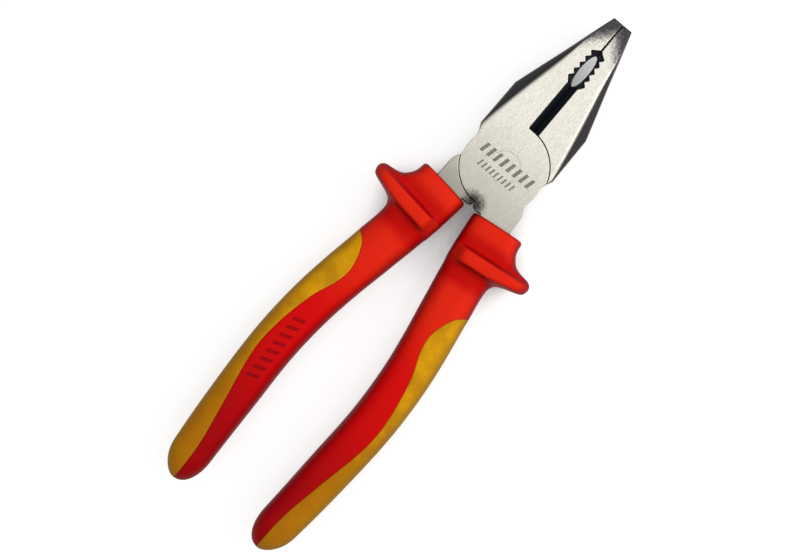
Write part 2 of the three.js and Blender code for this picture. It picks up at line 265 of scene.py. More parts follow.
def smooth_curve(rows, column):
    """A monotone cubic through one column of a table whose first column is the distance."""
    table = np.array(rows, float)
    xs = table[:, 0]
    ys = table[:, column]
    h = np.diff(xs)
    slope = np.diff(ys) / h
    tangent = np.concatenate([slope[:1], (slope[:-1] + slope[1:]) / 2, slope[-1:]])
    turns = slope[:-1] * slope[1:] <= 0
    tangent[1:-1][turns] = 0.0
    limit = 3 * np.minimum(
        np.concatenate([np.abs(slope), [np.inf]]), np.concatenate([[np.inf], np.abs(slope)])
    )
    tangent = np.clip(tangent, -limit, limit)

    def at(x):
        i = np.clip(np.searchsorted(xs, x, side="right") - 1, 0, len(h) - 1)
        t = np.clip((x - xs[i]) / h[i], 0, 1)
        rise = (2 * t - 3) * t * t + 1
        start = ((t - 2) * t + 1) * t * h[i] * tangent[i]
        end = (t - 1) * t * t * h[i] * tangent[i + 1]
        return rise * ys[i] + start + (1 - rise) * ys[i + 1] + end

    return at


def smooth_step(low, high, x):
    t = np.clip((x - low) / (high - low), 0, 1)
    return t * t * (3 - 2 * t)


AXIS = spline(HANDLE_AXIS, 40)
AXIS_AT = distances(AXIS)
AXIS_TANGENT = np.gradient(AXIS, AXIS_AT, axis=0)
AXIS_TANGENT /= np.linalg.norm(AXIS_TANGENT, axis=1)[:, None]
GRIP_END = AXIS_AT[-1]


def on_axis(s):
    """Centre and tangent of the handle's axis at distances s, carried straight on past its ends."""
    inside = np.clip(s, 0, GRIP_END)
    centre = np.stack([np.interp(inside, AXIS_AT, AXIS[:, i]) for i in (0, 1)], -1)
    tangent = np.stack([np.interp(inside, AXIS_AT, AXIS_TANGENT[:, i]) for i in (0, 1)], -1)
    return centre + tangent * (s - inside)[..., None], tangent


def along_and_out(x, y):
    """Distance along the handle's axis and distance outboard of it, for places in its plane."""
    points = AXIS[::4]
    at = AXIS_AT[::4]
    along = np.zeros(np.broadcast(x, y).shape)
    out = np.zeros_like(along)
    nearest = np.full(along.shape, np.inf)
    last = len(points) - 2
    for i, (start, end) in enumerate(zip(points, points[1:])):
        edge = end - start
        length = np.linalg.norm(edge)
        edge = edge / length
        run = (x - start[0]) * edge[0] + (y - start[1]) * edge[1]
        low = -np.inf if i == 0 else 0.0
        high = np.inf if i == last else length
        kept = np.clip(run, low, high)
        dx = x - start[0] - kept * edge[0]
        dy = y - start[1] - kept * edge[1]
        gap = np.hypot(dx, dy)
        closer = gap < nearest
        nearest = np.where(closer, gap, nearest)
        along = np.where(closer, at[i] + kept, along)
        out = np.where(closer, np.copysign(gap, dy * edge[0] - dx * edge[1]), out)
    return along, out


# Distance fields, in millimetres and negative inside


def smooth_max(a, b, k):
    blend = np.maximum(k - np.abs(a - b), 0) / k
    return np.maximum(a, b) + blend * blend * k / 4


def outline_distance(x, y, corners):
    nearest = np.full(np.broadcast(x, y).shape, np.inf)
    inside = np.zeros(nearest.shape, bool)
    for (x0, y0), (x1, y1) in zip(corners, corners[1:] + corners[:1]):
        ex = x1 - x0
        ey = y1 - y0
        t = np.clip(((x - x0) * ex + (y - y0) * ey) / (ex * ex + ey * ey), 0, 1)
        nearest = np.minimum(nearest, (x - x0 - ex * t) ** 2 + (y - y0 - ey * t) ** 2)
        if ey:
            inside ^= ((y0 > y) != (y1 > y)) & (x < ex * (y - y0) / ey + x0)
    return np.where(inside, -1, 1) * np.sqrt(nearest)


def cheek_outline(seam):
    """The jaw's outline, with the given line of points along its seam."""
    return seam + CHEEK_OUTLINE


def toothed_seam():
    seam = [(SEAM_PAST, 0), (SEAM_PAST, SLOT["top"]), (-SLOT["wall"], SLOT["top"])]
    for i in range(TEETH["valleys"]):
        y = TEETH["first"] + i * TEETH["pitch"]
        seam.append((i * TEETH["taper"] - TEETH["valley"], y))
        if i < TEETH["valleys"] - 1:
            seam.append((i * TEETH["taper"] - TEETH["tip"], y + TEETH["pitch"] / 2))
    y = SEAM_TOP["y"]
    while y < TIP_Y - SEAM_TOP["pitch"]:
        share = (TIP_Y - y) / (TIP_Y - SEAM_TOP["y"])
        reach = SEAM_GAP + share * (SEAM_TOP["reach"] - SEAM_GAP)
        seam.append((-reach, y))
        seam.append((-reach - SEAM_TOP["serration"], y + SEAM_TOP["pitch"] * 0.75))
        y += SEAM_TOP["pitch"]
    return seam + [(-SEAM_GAP, y), (-SEAM_GAP, TIP_Y)]


def seam_side(x, z):
    """Distance over the closed seam, which leans so that no light comes through it."""
    return x - SEAM_LEAN * np.clip(z, -1, 1) + SEAM_GAP


def pipe_grip_web(x, y, z):
    """The thin middle of the pipe grip, between its teeth and the oval hole."""
    cheek = outline_distance(x, y, cheek_outline([(SEAM_PAST, 0), (SEAM_PAST, TIP_Y)]))
    cheek = np.maximum(np.maximum(cheek, seam_side(x, z)), SLOT["top"] - y)
    across = x / PIPE_HOLE["reach"]
    up = (y - PIPE_HOLE["middle"]) / (PIPE_HOLE["length"] / 2)
    level = np.hypot(across, up)
    slope = np.hypot(across / PIPE_HOLE["reach"], up / (PIPE_HOLE["length"] / 2))
    oval = (level - 1) * level / np.maximum(slope, 1e-6)
    return smooth_max(np.maximum(cheek, -oval), np.abs(z) - PIPE_HOLE["web_z"], WEB_EDGE)


def jaw(x, y, z):
    made = outline_distance(x, y, cheek_outline(toothed_seam()))
    made = np.maximum(made, seam_side(x, z))
    made = smooth_max(made, np.abs(z) - FACE_Z, EDGE)
    bevel = SLOT["bevel"] * (np.abs(z) - SLOT["land"])
    edge = (seam_side(x, z) + bevel) / math.hypot(1, SLOT["bevel"])
    material = np.minimum(x + SLOT["wall"], edge)
    slot = np.maximum(-material, np.maximum(SLOT["bottom"] - y, y - SLOT["top"]))
    made = smooth_max(made, -slot, CUT_EDGE)
    made = np.minimum(made, pipe_grip_web(x, y, z))
    for (reach, start), (next_reach, end) in FLANK_LINES:
        length = math.hypot(end - start, reach - next_reach)
        across = (start - end) / length
        up = (reach - next_reach) / length
        flank = (x + reach) * across + (y - start) * up + np.abs(z) - FACE_Z
        made = smooth_max(made, flank * math.sqrt(0.5), FLANK_EDGE)
    for (thick, start), (next_thick, end) in NOSE_SLOPES:
        length = math.hypot(end - start, thick - next_thick)
        slope = (thick - next_thick) * (y - start) + (end - start) * (np.abs(z) - thick)
        made = smooth_max(made, slope / length, EDGE)
    return made


def shoulder(x, y, z):
    """The tang between the disc and the collar."""
    return smooth_max(outline_distance(x, y, SHOULDER_OUTLINE), np.abs(z) - FACE_Z, EDGE)


def tang(along, out, z):
    table = np.array(TANG, float)
    outboard, inboard, thick = (np.interp(along, table[:, 0], table[:, i]) for i in (1, 2, 3))
    across = np.abs(out - (outboard - inboard) / 2) - (outboard + inboard) / 2 + TANG_EDGE
    up = np.abs(z) - thick + TANG_EDGE
    corner = np.hypot(np.maximum(across, 0), np.maximum(up, 0))
    box = np.minimum(np.maximum(across, up), 0) + corner - TANG_EDGE
    return smooth_max(np.maximum(box, TANG_START - along), along - TANG_END, TANG_END_EDGE)


def rivet_hole(radius, z):
    spread = (RIVET["head"] - RIVET["shank"]) / RIVET["head_depth"]
    sink = radius - RIVET["head"] - (np.abs(z) - FACE_Z) * spread
    return np.minimum(radius - RIVET["shank"], sink / math.hypot(1, spread)) - RIVET["play"]


def steel_half(x, y, z):
    radius = np.hypot(x, y)
    along, out = along_and_out(x, y)
    made = np.minimum(shoulder(x, y, z), tang(along, out, z))
    made = np.minimum(made, jaw(x, y, z))
    lap = DISC_GAP / 2
    clearance = np.maximum(radius - DISC_RADIUS - DISC_GAP, z - lap)
    made = smooth_max(made, -clearance, CUT_EDGE)
    disc = np.maximum(radius - DISC_RADIUS, outline_distance(x, y, HEAD_OUTLINE))
    made = np.minimum(made, smooth_max(np.maximum(disc, lap - z), z - FACE_Z, DISC_EDGE))
    return smooth_max(made, -rivet_hole(radius, z), HOLE_EDGE)


# Meshes


def sample(values, places):
    """Values of a 3-D array between its cells, at places given in cells."""
    base = np.floor(places).astype(int)
    base = np.clip(base, 0, np.array(values.shape) - 2)
    share = places - base
    total = np.zeros(len(places))
    for corner in np.ndindex(2, 2, 2):
        weight = np.prod(np.where(np.array(corner) == 1, share, 1 - share), axis=1)
        total += weight * values[tuple((base + corner).T)]
    return total


def sampled(field, xs, ys, zs, band):
    """Values of a field at these places, cut off at the band, and made slab by slab."""
    values = np.empty((len(xs), len(ys), len(zs)), np.float32)
    for start in range(0, len(ys), SLAB_ROWS):
        rows = slice(start, start + SLAB_ROWS)
        part = field(xs[:, None, None], ys[None, rows, None], zs[None, None, :])
        values[:, rows] = np.clip(part, -band, band)
    return values


def placed(values, points, lines):
    """Places in metres and the field's normals there, for points given in cells."""
    places = np.empty_like(points, dtype=float)
    normals = np.empty_like(places)
    reach = 0.5
    for i, line in enumerate(lines):
        cells = np.arange(len(line))
        places[:, i] = np.interp(points[:, i], cells, line) * MM
        shift = np.zeros(3)
        shift[i] = reach
        rise = sample(values, points + shift) - sample(values, points - shift)
        ahead, behind = (np.interp(points[:, i] + side, cells, line) for side in (reach, -reach))
        normals[:, i] = rise / (ahead - behind)
    return places, normals / np.maximum(np.linalg.norm(normals, axis=1), 1e-9)[:, None]


def field_mesh(name, field, xs, ys, zs):
    """The surface of a distance field sampled at these places, with normals from the field."""
    band = 3 * (xs[1] - xs[0])
    values = sampled(field, xs, ys, zs, band)
    grid = openvdb.FloatGrid(band)
    grid.copyFromArray(values)
    points, triangles, quads = grid.convertToPolygons(isovalue=0.0, adaptivity=0.0)
    places, normals = placed(values, points, (xs, ys, zs))
    faces = [tuple(face) for face in triangles.tolist()] + [tuple(face) for face in quads.tolist()]
    a, b, c = (places[[face[i] for face in faces]] for i in (0, 1, 2))
    outward = np.cross(b - a, c - a)
    middle = normals[[face[0] for face in faces]]
    if (outward * middle).sum() < 0:
        faces = [face[::-1] for face in faces]
    mesh = bpy.data.meshes.new(name)
    mesh.from_pydata(places.tolist(), [], faces)
    mesh.validate()
    mesh.shade_smooth()
    mesh.normals_split_custom_set_from_vertices(normals.tolist())
    return mesh


def ring_mesh(name, rings, sharp_angle):
    """A closed surface through rings of points in millimetres, each with the same number."""
    rings = np.array(rings) * MM
    count, around = rings.shape[:2]
    faces = [tuple(range(around))[::-1]]
    for k in range(count - 1):
        for j in range(around):
            here = k * around
            there = here + around
            after = (j + 1) % around
            faces.append((here + j, here + after, there + after, there + j))
    faces.append(tuple((count - 1) * around + j for j in range(around)))
    mesh = bpy.data.meshes.new(name)
    mesh.from_pydata(rings.reshape(-1, 3).tolist(), [], faces)
    made = bmesh.new()
    made.from_mesh(mesh)
    bmesh.ops.remove_doubles(made, verts=made.verts, dist=1e-6)
    bmesh.ops.dissolve_degenerate(made, dist=1e-7, edges=made.edges)
    bmesh.ops.recalc_face_normals(made, faces=made.faces)
    made.to_mesh(mesh)
    made.free()
    mesh.shade_smooth()
    mesh.set_sharp_from_angle(angle=sharp_angle)
    return mesh


def half_mesh():
    """A steel half, sampled closely only where it can be seen."""
    xs = np.arange(STEEL_LOW.x / MM - 1, STEEL_HIGH.x / MM + 2, STEEL_STEP)
    hidden = np.arange(STEEL_LOW.y / MM - 2, HIDDEN_BELOW, HIDDEN_STEP)
    ys = np.concatenate([hidden, np.arange(HIDDEN_BELOW, TIP_Y + 1, STEEL_STEP)])
    zs = np.arange(-FACE_Z - 1, FACE_Z + 1, STEEL_STEP)
    return field_mesh("half", steel_half, xs, ys, zs)


# Rivet


def rivet_mesh():
    neck = FACE_Z - RIVET["head_depth"]
    edge = RIVET["edge"]
    profile = [
        (0.3, FACE_Z),
        (RIVET["head"] - edge, FACE_Z),
        (RIVET["head"], FACE_Z - edge),
        (RIVET["shank"], neck),
    ]
    profile = profile + [(radius, -z) for radius, z in profile[::-1]]
    turns = np.linspace(0, 2 * math.pi, RIVET_POINTS, endpoint=False)
    rings = [
        np.stack([r * np.cos(turns), r * np.sin(turns), np.full(turns.shape, z)], -1)
        for r, z in profile
    ]
    return ring_mesh("pivot_rivet", rings, RIVET_CREASE)


# Grips


def pad_reach(s):
    """How far outboard of the axis the inlay's line runs, at distances s."""
    line = spline(PAD_LINE, 30)
    along, out = along_and_out(line[:, 0], line[:, 1])
    return np.interp(s, along, out, left=np.inf)


def grip_sizes(s):
    """Reach outboard, reach inboard, half thickness and squareness of the grip at s."""
    rest = np.minimum(s, DOME_START)
    outboard = smooth_curve(GRIP_REACH, 1)(rest)
    inboard = smooth_curve(GRIP_REACH, 2)(rest)
    thick = smooth_curve(GRIP_THICK, 1)(rest)
    square = smooth_curve(GRIP_THICK, 2)(rest)
    dome = math.sqrt(max(1 - (max(s - DOME_START, 0) / (DOME_END - DOME_START)) ** 2, 1e-4))
    inset = RIM - math.sqrt(max(RIM**2 - max(RIM - s, 0) ** 2, 0))
    outboard = outboard * dome ** DOME_REACH[0] - inset
    inboard = inboard * dome ** DOME_REACH[1] - inset
    return outboard, inboard, thick * dome - inset, square - DOME_SOFTENING * (1 - dome)


def raised(s, out, inboard):
    """Height of the guard's band and of the handle's flat back over the plain section."""
    band = np.interp(s, *np.array(GUARD_BAND, float).T)
    band = band * smooth_step(BAND_RISE[0] - inboard, BAND_RISE[1] - inboard, out)
    flat = FLAT["height"] * smooth_step(*FLAT["start"], s) * (1 - smooth_step(*FLAT["end"], s))
    flat = flat * smooth_step(-inboard, FLAT["inboard"] - inboard, out)
    return band + flat * (1 - smooth_step(*FLAT["outboard"], out))


def half_section(s):
    """The grip's section from its outboard edge over the front to its inboard edge."""
    outboard, inboard, thick, square = grip_sizes(s)
    turn = np.linspace(0, math.pi, SECTION_POINTS)
    across = np.cos(turn)
    up = np.abs(np.sin(turn))
    reach = np.where(across > 0, outboard, inboard)
    out = reach * np.sign(across) * np.abs(across) ** (2 / square)
    z = thick * up ** (2 / square)
    z = z + raised(s, out, inboard) * (1 - np.abs(out / reach) ** SIDE_BLEND)
    z[0] = z[-1] = 0.0
    return np.stack([out, z], -1)


class Section:
    """One section of the grip, by the distance around it from its outboard edge."""

    def __init__(self, s):
        self.s = s
        self.line = half_section(s)
        self.at = distances(self.line)
        self.half = self.at[-1]
        tangent = np.gradient(self.line, np.maximum(self.at, np.arange(len(self.at)) * 1e-9), axis=0)
        tangent /= np.maximum(np.linalg.norm(tangent, axis=1), 1e-9)[:, None]
        self.normal = np.stack([tangent[:, 1], -tangent[:, 0]], -1)

    def to_line(self):
        """Distance around the section from its outboard edge to the inlay's line."""
        return float(np.interp(-pad_reach(self.s), -self.line[:, 0], self.at))

    def places(self, around, depth):
        """Points at distances around the section, sunk by depth along the surface's normal."""
        whole = 2 * self.half
        around = np.mod(around, whole)
        front = around <= self.half
        side = np.where(front, 1.0, -1.0)
        around = np.where(front, around, whole - around)
        out, z = (np.interp(around, self.at, self.line[:, i]) for i in (0, 1))
        normal_out, normal_z = (np.interp(around, self.at, self.normal[:, i]) for i in (0, 1))
        out = out - depth * normal_out
        z = (z - depth * normal_z) * side
        return in_space(self.s, out, z)


def in_space(s, out, z):
    centre, tangent = on_axis(np.array(float(s)))
    x = centre[0] - tangent[1] * out
    y = centre[1] + tangent[0] * out
    return np.stack([x, y, z], -1)


def lipped(start, end, count):
    """Distances from start to end and their depths, rounded over at both ends."""
    length = end - start
    offsets = np.array([offset for offset, _ in LIP])
    depths = np.array([depth for _, depth in LIP])
    scale = min(1.0, 0.4 * length / offsets[-1])
    offsets = offsets * scale
    depths = depths * scale
    inner = np.linspace(start + offsets[-1], end - offsets[-1], count - 2 * (len(LIP) - 1))
    around = np.concatenate([start + offsets[:-1], inner, end - offsets[-2::-1]])
    depth = np.concatenate([depths[:-1], np.zeros(len(inner)), depths[-2::-1]])
    return around, depth


def shell_ring(section):
    line = section.to_line()
    gap = min(PAD_GAP / 2, 0.2 * line)
    sunk = min(PAD_DEPTH + PAD_GAP, 0.8 * line)
    around, depth = lipped(line + gap, 2 * section.half - line - gap, RED_POINTS)
    if line < 0.01:
        depth = depth * 0
    floor = np.linspace(-line - gap, line + gap, PAD_POINTS)
    around = np.concatenate([around, floor])
    depth = np.concatenate([depth, np.full(PAD_POINTS, sunk)])
    return section.places(around, depth)


def pad_ring(section):
    line = section.to_line()
    gap = min(PAD_GAP / 2, 0.2 * line)
    sunk = min(PAD_DEPTH, 0.7 * line)
    around, depth = lipped(gap - line, line - gap, PAD_POINTS)
    floor = np.linspace(line - gap, gap - line, PAD_POINTS)
    around = np.concatenate([around, floor])
    depth = np.concatenate([depth, np.full(PAD_POINTS, sunk)])
    return section.places(around, depth)


def stations():
    """Distances along the handle at which the grip's rings stand."""
    rim = RIM * (1 - np.cos(np.linspace(0, math.pi / 2, RIM_RINGS)))
    spans = [np.arange(*span) for span in RING_SPANS]
    dome = np.sin(np.linspace(0, DOME_TURN, DOME_RINGS)) * (DOME_END - DOME_START) + DOME_START
    return np.concatenate([rim, *spans, dome])


def hole_ring(s, grow):
    """A ring of the hollow in the grip that holds the tang, or the tang in its inner sleeve."""
    table = np.array(TANG, float)
    outboard, inboard, thick = (np.interp(s, table[:, 0], table[:, i]) + grow for i in (1, 2, 3))
    turn = np.concatenate([np.linspace(0, 2 * math.pi, RED_POINTS), np.zeros(PAD_POINTS)])
    across = np.cos(turn)
    up = np.sin(turn)
    reach = np.where(across > 0, outboard, inboard)
    out = reach * np.sign(across) * np.abs(across) ** (2 / HOLE_SQUARE)
    z = thick * np.sign(up) * np.abs(up) ** (2 / HOLE_SQUARE)
    return in_space(s, out, z)


def shell_mesh():
    wide = CORE_WALL + CORE_GAP
    hollow = [hole_ring(s, wide) for s in np.arange(HOLE_END, CORE_START, -HOLE_STEP)]
    mouth = [hole_ring(CORE_START - CORE_GAP, grow) for grow in (wide, TANG_GAP)]
    throat = [hole_ring(s, TANG_GAP) for s in (CORE_START / 2, MOUTH_EDGE)]
    edge = [hole_ring(0.0, TANG_GAP + MOUTH_EDGE)]
    outside = [shell_ring(Section(s)) for s in stations()]
    return ring_mesh("grip_shell", hollow + mouth + throat + edge + outside, GRIP_CREASE)


def pad_mesh():
    sections = [Section(s) for s in stations()]
    first = next(i for i, section in enumerate(sections) if section.to_line() > 0.05)
    return ring_mesh("grip_pad", [pad_ring(section) for section in sections[first:]], GRIP_CREASE)


# Materials


class Value:
    """A node socket with arithmetic."""

    def __init__(self, nodes, socket):
        self.nodes = nodes
        self.socket = socket

    def __add__(self, other):
        return self.nodes.math("ADD", self, other)

    def __sub__(self, other):
        return self.nodes.math("SUBTRACT", self, other)

    def __rsub__(self, other):
        return self.nodes.math("SUBTRACT", other, self)

    def __mul__(self, other):
        return self.nodes.math("MULTIPLY", self, other)

    def __abs__(self):
        return self.nodes.math("ABSOLUTE", self)

    __radd__ = __add__


class Nodes:
    """A material's node tree, with short calls for the nodes used here."""

    def __init__(self, name):
        self.material = bpy.data.materials.new(name)
        self.material.use_nodes = True
        self.tree = self.material.node_tree
        self.shader = self.tree.nodes["Principled BSDF"]
        place = self.add("ShaderNodeTexCoord").outputs
        scaled = self.add("ShaderNodeVectorMath", operation="SCALE")
        self.link(place["Object"], scaled.inputs[0])
        scaled.inputs["Scale"].default_value = 1 / MM
        self.mm = Value(self, scaled.outputs[0])
        self.x, self.y, self.z = self.split(scaled.outputs[0])
        self.facing = self.split(place["Normal"])

    def add(self, kind, **settings):
        node = self.tree.nodes.new(kind)
        for key, setting in settings.items():
            setattr(node, key, setting)
        return node

    def link(self, source, target):
        self.tree.links.new(source, target)

    def put(self, value, target):
        if isinstance(value, Value):
            self.link(value.socket, target)
        elif isinstance(value, tuple):
            target.default_value = value if len(value) == 4 else (*value, 1.0)
        else:
            target.default_value = value

    def split(self, socket):
        node = self.add("ShaderNodeSeparateXYZ")
        self.link(socket, node.inputs[0])
        return [Value(self, output) for output in node.outputs]

    def math(self, operation, *values):
        node = self.add("ShaderNodeMath", operation=operation)
        for value, target in zip(values, node.inputs):
            self.put(value, target)
        return Value(self, node.outputs[0])

    def step(self, low, high, value):
        """0 below low, 1 above high, smooth between; low may be the greater one."""
        node = self.add("ShaderNodeMapRange", interpolation_type="SMOOTHSTEP")
        falling = low > high
        self.put(value, node.inputs["Value"])
        node.inputs["From Min"].default_value = min(low, high)
        node.inputs["From Max"].default_value = max(low, high)
        node.inputs["To Min"].default_value = 1.0 if falling else 0.0
        node.inputs["To Max"].default_value = 0.0 if falling else 1.0
        return Value(self, node.outputs[0])

    def noise(self, scale, detail=3.0, roughness=0.55, stretch=None, turn=0.0):
        """Noise from 0 to 1 whose cells are 1/scale millimetres wide."""
        node = self.add("ShaderNodeTexNoise")
        vector = self.mm
        if stretch:
            mapping = self.add("ShaderNodeMapping")
            mapping.inputs["Scale"].default_value = stretch
            mapping.inputs["Rotation"].default_value = (0, 0, turn)
            self.put(vector, mapping.inputs["Vector"])
            vector = Value(self, mapping.outputs[0])
        self.put(vector, node.inputs["Vector"])
        node.inputs["Scale"].default_value = scale
        node.inputs["Detail"].default_value = detail
        node.inputs["Roughness"].default_value = roughness
        return Value(self, node.outputs[0])

    def mix(self, share, low, high):
        """A colour between two colours."""
        node = self.add("ShaderNodeMix", data_type="RGBA")
        self.put(share, node.inputs[0])
        self.put(low, node.inputs[6])
        self.put(high, node.inputs[7])
        return Value(self, node.outputs[2])

    def bump(self, height, strength, distance):
        node = self.add("ShaderNodeBump")
        self.put(height, node.inputs["Height"])
        node.inputs["Strength"].default_value = strength
        node.inputs["Distance"].default_value = distance * MM
        self.link(node.outputs[0], self.shader.inputs["Normal"])

    def set(self, **inputs):
        for key, value in inputs.items():
            self.put(value, self.shader.inputs[key.replace("_", " ")])
        return self.material


def inside(nodes, value, low, high, soft):
    """1 where value is between low and high, fading over soft at both ends."""
    return nodes.step(low - soft, low, value) * nodes.step(high + soft, high, value)


def etched_bars(nodes, across, along, pitch, width):
    """A row of slanted bars."""
    slanted = nodes.x + (nodes.y - along[0]) * FACE_BAR_SLANT
    phase = nodes.math("FRACT", (slanted - across[0]) * (1 / pitch))
    bar = nodes.step(width, width - BAR_EDGE, phase)
    row = inside(nodes, nodes.y, *along, 0.12) * inside(nodes, slanted, *across, 0.1)
    return bar * row


def ground_face(nodes, grain, clouds):
    """Colour, marks and height of the finely ground faces, with painted light making them lighter
    towards the jaws.
    """
    streaks = nodes.noise(1.0, 3.0, 0.6, (5.0, 0.5, 1.0), math.radians(-50))
    marks = face_marks(nodes)
    colour = nodes.mix(clouds, STEEL["cloud"], STEEL["clear"])
    # Painted light: the faces lighter towards the jaws.
    colour = nodes.mix(nodes.step(*JAW_LIGHT_FADE, nodes.y) * 0.5, colour, STEEL["jaw"])
    mottle = nodes.step(0.36, 0.66, grain * 0.6 + streaks * 0.4)
    colour = nodes.mix(mottle * 0.55, colour, STEEL["streak"])
    colour = nodes.mix(marks * (0.4 + grain * 0.6), colour, STEEL["etched"])
    return colour, marks, grain * 0.5 + streaks * 0.3 - marks * 3.0


def face_marks(nodes):
    """Two rows of plain bars on the outer face of the joint."""
    large, small = (etched_bars(nodes, **row) for row in FACE_BARS)
    return (large + small) * nodes.step(FACE_Z - 0.3, FACE_Z - 0.1, nodes.z)


def recess_shade(nodes, facing):
    """1 in the cutter's slot and between the pipe grip's teeth, where near black paints the shade in
    these recesses.
    """
    across = abs(nodes.x)
    deep = abs(nodes.z)
    wall = SLOT["wall"]
    slot_span = inside(nodes, nodes.y, SLOT["bottom"] + 0.1, SLOT["top"] + 0.7, 0.2)
    in_slot = nodes.step(wall + 0.25, wall + 0.05, across) * slot_span
    in_slot = in_slot * nodes.step(FACE_Z - 0.15, FACE_Z - 0.35, deep)
    teeth_span = inside(nodes, nodes.y, SLOT["top"] + 0.1, SEAM_TOP["y"] + 0.2, 0.2)
    in_teeth = nodes.step(TEETH["valley"] + 0.65, TEETH["valley"] + 0.35, across) * teeth_span
    web = PIPE_HOLE["web_z"]
    sunk = nodes.math("MAXIMUM", nodes.step(0.92, 0.82, facing), nodes.step(web + 1, web + 0.6, deep))
    return nodes.math("MAXIMUM", in_slot, in_teeth * sunk)


def neck_shading(nodes, bright):
    """The bright steel darkened by painted shade below the joint, more on the side that faces up on
    the rear half, and by a painted shadow at the crotch.
    """
    # Painted shade: darker below the joint, towards the collar.
    neck_shade = nodes.step(*NECK_SHADE_FADE, nodes.y) * (0.45 + nodes.step(0.0, -2.0, nodes.z) * 0.35)
    bright = nodes.mix(neck_shade, bright, STEEL["neck_shade"])
    # Painted shadow: a dark patch where the disc meets the tangs at the crotch.
    across = (nodes.x - CROTCH_SHADE["x"]) * CROTCH_SHADE["per_x"]
    along = (nodes.y - CROTCH_SHADE["y"]) * CROTCH_SHADE["per_y"]
    away = nodes.math("SQRT", across * across + along * along)
    crotch_shade = nodes.step(1.0, 0.3, away + (nodes.noise(0.9, 4.0) - 0.5) * 0.7)
    return nodes.mix(crotch_shade * 0.93, bright, STEEL["crotch_shade"])


def ground_steel():
    """Ground cheeks with painted light and shade, dark oxide on the flanks and the nose, and a black
    cutter slot and teeth valleys that paint the shade in them.
    """
    nodes = Nodes("steel")
    facing = abs(nodes.facing[2])
    grain = nodes.noise(*GRAIN)
    clouds = nodes.noise(*CLOUDS)
    specks = nodes.noise(2.6, 5.0, 0.7)
    flank = nodes.step(0.35, 0.42, facing) * nodes.step(0.985, 0.80, facing)
    flank = flank * nodes.step(*FLANK_FADE, nodes.y)
    nose_line = nodes.y + (nodes.noise(1.1, 4.0, 0.7) - 0.5) * 8.0 + abs(nodes.x) * 1.2
    nose = nodes.step(*NOSE_FADE, nose_line + (specks - 0.5) * 8.0)
    dark = nodes.math("MAXIMUM", flank, nose)
    black = recess_shade(nodes, facing)

    bright, marks, height = ground_face(nodes, grain, clouds)
    flecks = nodes.step(0.35, 0.75, specks) * (0.35 + nose * 0.65)
    oxide = nodes.mix(flecks, STEEL["oxide"], STEEL["fleck"])
    colour = nodes.mix(dark, neck_shading(nodes, bright), oxide)
    # Painted shade: the slot and the teeth valleys nearly black and matt.
    colour = nodes.mix(black, colour, STEEL["black"])
    rough = 0.30 + grain * 0.16 + clouds * 0.08 + marks * 0.2 + dark * 0.08 + black * 0.3
    nodes.bump(height, 0.35, 0.03)
    metal = 1.0 - black * 0.9
    return nodes.set(Base_Color=colour, Roughness=rough, Metallic=metal)


def rivet_steel():
    """The halves' ground face, without their oxide and their painted shade."""
    nodes = Nodes("rivet")
    grain = nodes.noise(*GRAIN)
    clouds = nodes.noise(*CLOUDS)
    colour, marks, height = ground_face(nodes, grain, clouds)
    nodes.bump(height, 0.35, 0.03)
    rough = 0.30 + grain * 0.16 + clouds * 0.08 + marks * 0.2
    return nodes.set(Base_Color=colour, Roughness=rough, Metallic=1.0)


def beside_guard(nodes):
    """1 in the hollows before and after the guard, where painted shade makes the red deeper."""
    (x, y), (next_x, next_y) = HANDLE_AXIS[:2]
    length = math.hypot(next_x - x, next_y - y)
    along = (nodes.x - x) * ((next_x - x) / length) + (nodes.y - y) * ((next_y - y) / length)
    before, after = (
        nodes.step(*start, along) * nodes.step(*end, along) for start, end in GUARD_HOLLOWS
    )
    return before + after


def red_plastic():
    """Satin outer grip, with painted light and shade: lighter at the collar, and deeper red towards
    the handle's end, in the hollows beside the guard and on the steep sides; marks moulded on one
    side.
    """
    nodes = Nodes("grip_shell")
    orange_peel = nodes.noise(1.3, 2.0, 0.5)
    fine = nodes.noise(7.0, 2.0, 0.5)
    clouds = nodes.noise(0.09, 2.0, 0.5)
    facing = abs(nodes.facing[2])
    marks = grip_marks(nodes)
    # Painted light and shade: lighter red at the collar, deeper towards the handle's end.
    red = nodes.mix(nodes.step(*RED_SHADE_MIDDLE_FADE, nodes.y), RED["collar"], RED["middle"])
    red = nodes.mix(clouds * 0.4, red, RED["cloud"])
    red = nodes.mix(nodes.step(*RED_SHADE_END_FADE, nodes.y), red, RED["end"])
    # Painted shade: deeper red in the hollows beside the guard.
    red = nodes.mix(beside_guard(nodes) * 0.9, red, RED["guard"])
    # Painted shade: darker red on the steep sides.
    red = nodes.mix(nodes.step(0.93, 0.35, facing) * 0.85, red, RED["side"])
    red = nodes.mix(marks * 0.55, red, RED["mark"])
    rough = 0.42 + fine * 0.10 + orange_peel * 0.06 + marks * 0.1
    nodes.bump(orange_peel * 0.7 + fine * 0.2 - marks * 1.5, 0.30, 0.05)
    nodes.shader.inputs["Specular IOR Level"].default_value = GRIP_SPECULAR
    return nodes.set(Base_Color=red, Roughness=rough)


def grip_marks(nodes):
    """A row of short bars across the grip, on its back side."""
    reach = GRIP_BARS["reach"]
    across = nodes.x - GRIP_BARS["x"]
    along = nodes.y - GRIP_BARS["y"] + across * GRIP_BAR_SLANT
    phase = nodes.math("FRACT", along * (1 / GRIP_BARS["pitch"]))
    bar = nodes.step(GRIP_BARS["width"], GRIP_BARS["width"] - BAR_EDGE, phase)
    row = inside(nodes, across, -reach, reach, 0.5)
    row = row * inside(nodes, along, 0.0, GRIP_BARS["length"], 0.1)
    return bar * row * nodes.step(-2.0, -4.0, nodes.z)


